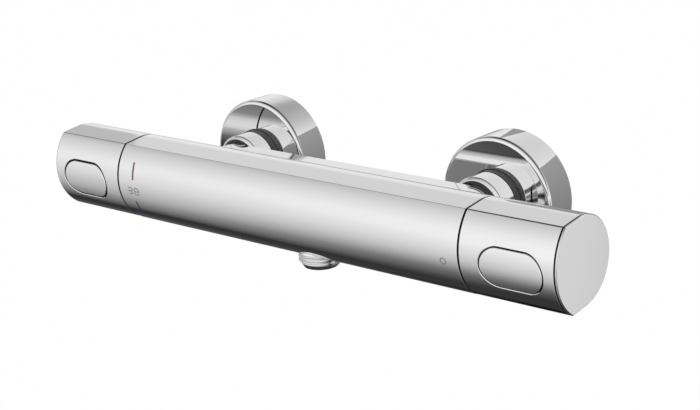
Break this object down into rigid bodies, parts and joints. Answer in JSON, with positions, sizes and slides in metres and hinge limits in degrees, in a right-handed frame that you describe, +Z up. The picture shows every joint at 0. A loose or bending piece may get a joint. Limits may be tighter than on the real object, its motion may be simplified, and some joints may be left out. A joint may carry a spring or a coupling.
{
  "type": "thermostatic shower valve",
  "caption": "Wall-mounted thermostatic bar valve with a temperature knob, a flow knob, press-to-pass stop buttons, eccentric wall unions and a bottom hose outlet.",
  "frame": {"origin": "on the finished wall's face, midway between the two supply inlets, level with the bar's axis", "axes": "+X along the bar from the temperature knob to the flow knob, +Y into the wall, +Z up"},
  "size_m": [0.309, 0.1034, 0.0602],
  "materials": {
    "chrome_bar": "chromium plated brass, polished",
    "chrome_knob": "ABS, chromium plated and polished",
    "satin_cap": "ABS, chromium plated",
    "chrome_button": "ABS, chromium plated and polished",
    "chrome_fitting": "turned brass, chromium plated",
    "chrome_rose": "drawn steel, chromium plated and polished",
    "cast_brass": "gravity cast, bored",
    "turned_brass": "turned",
    "spring_steel": "drawn stainless steel",
    "black_plastic": "moulded POM",
    "white_plastic": "moulded POM",
    "white_ceramic": "lapped alumina",
    "black_rubber": "moulded EPDM",
    "fibre_washer": "punched vulcanised fibre"
  },
  "bodies": {
    "valve": {"body_casing": "chrome_bar", "rear_rail": "chrome_bar", "waterway": "cast_brass", "left_end_ring": "black_plastic", "right_end_ring": "black_plastic", "outlet_nipple": "chrome_fitting", "outlet_seal": "black_rubber", "hot_union_nut": "chrome_fitting", "cold_union_nut": "chrome_fitting", "nut_snap_rings": "spring_steel", "union_washers": "fibre_washer", "inlet_strainers": "spring_steel", "hot_check_housing": "white_plastic", "cold_check_housing": "white_plastic", "hot_check_spring": "spring_steel", "cold_check_spring": "spring_steel", "hot_s_union": "chrome_fitting", "cold_s_union": "chrome_fitting", "hot_wall_rose": "chrome_rose", "cold_wall_rose": "chrome_rose", "rose_grip_rings": "black_rubber", "thermostat_housing": "turned_brass", "thermostat_seals": "black_rubber", "return_spring": "spring_steel", "temp_stop_ring": "black_plastic", "flow_headpart": "turned_brass", "headpart_seal": "black_rubber", "seat_seal": "black_rubber", "fixed_disc": "white_ceramic", "flow_stop_ring": "black_plastic"},
    "temperature_knob": {"temp_knob": "chrome_knob", "temp_end_cap": "satin_cap", "temp_adapter": "black_plastic", "temp_knob_screw": "spring_steel", "temp_spindle": "turned_brass", "temp_spindle_seal": "black_rubber", "temp_button_spring": "spring_steel"},
    "temperature_button": {"temp_button": "chrome_button"},
    "regulator": {"mixing_piston": "black_plastic", "wax_element": "turned_brass", "drive_nut": "black_plastic", "overload_spring": "spring_steel"},
    "flow_knob_group": {"flow_knob": "chrome_knob", "flow_end_cap": "satin_cap", "flow_adapter": "black_plastic", "flow_knob_screw": "spring_steel", "flow_spindle": "turned_brass", "flow_spindle_seal": "black_rubber", "moving_disc": "white_ceramic", "flow_button_spring": "spring_steel"},
    "flow_stop_button": {"flow_button": "chrome_button"},
    "hot_poppet": {"hot_check_poppet": "white_plastic"},
    "cold_poppet": {"cold_check_poppet": "white_plastic"}
  },
  "joints": [
    {"name": "temperature_turn", "type": "hinge", "parent": "valve", "child": "temperature_knob", "pos_m": [0, -0.0656, 0], "axis": [-1, 0, 0], "range_deg": [-180, 75]},
    {"name": "flow_turn", "type": "hinge", "parent": "valve", "child": "flow_knob_group", "pos_m": [0, -0.0656, 0], "axis": [1, 0, 0], "range_deg": [0, 90]},
    {"name": "temperature_button_press", "type": "slide", "parent": "temperature_knob", "child": "temperature_button", "axis": [0, 0.9914, 0.1305], "range_m": [0, 0.0025], "stiffness_N_per_m": 500, "springref_m": -0.002, "deforming": ["temp_button_spring"]},
    {"name": "flow_button_press", "type": "slide", "parent": "flow_knob_group", "child": "flow_stop_button", "axis": [0, 0.9914, 0.1305], "range_m": [0, 0.0025], "stiffness_N_per_m": 500, "springref_m": -0.002, "deforming": ["flow_button_spring"]},
    {"name": "regulator_slide", "type": "slide", "parent": "valve", "child": "regulator", "axis": [1, 0, 0], "range_m": [-0.0016, 0.0007], "deforming": ["return_spring"]},
    {"name": "hot_check_lift", "type": "slide", "parent": "valve", "child": "hot_poppet", "axis": [0, -1, 0], "range_m": [0, 0.0025], "stiffness_N_per_m": 60, "springref_m": -0.002, "deforming": ["hot_check_spring"]},
    {"name": "cold_check_lift", "type": "slide", "parent": "valve", "child": "cold_poppet", "axis": [0, -1, 0], "range_m": [0, 0.0025], "stiffness_N_per_m": 60, "springref_m": -0.002, "deforming": ["cold_check_spring"]}
  ],
  "couplings": [
    {"joint": "regulator_slide", "follows": "temperature_turn", "m_per_rad": 0.00047746}
  ]
}
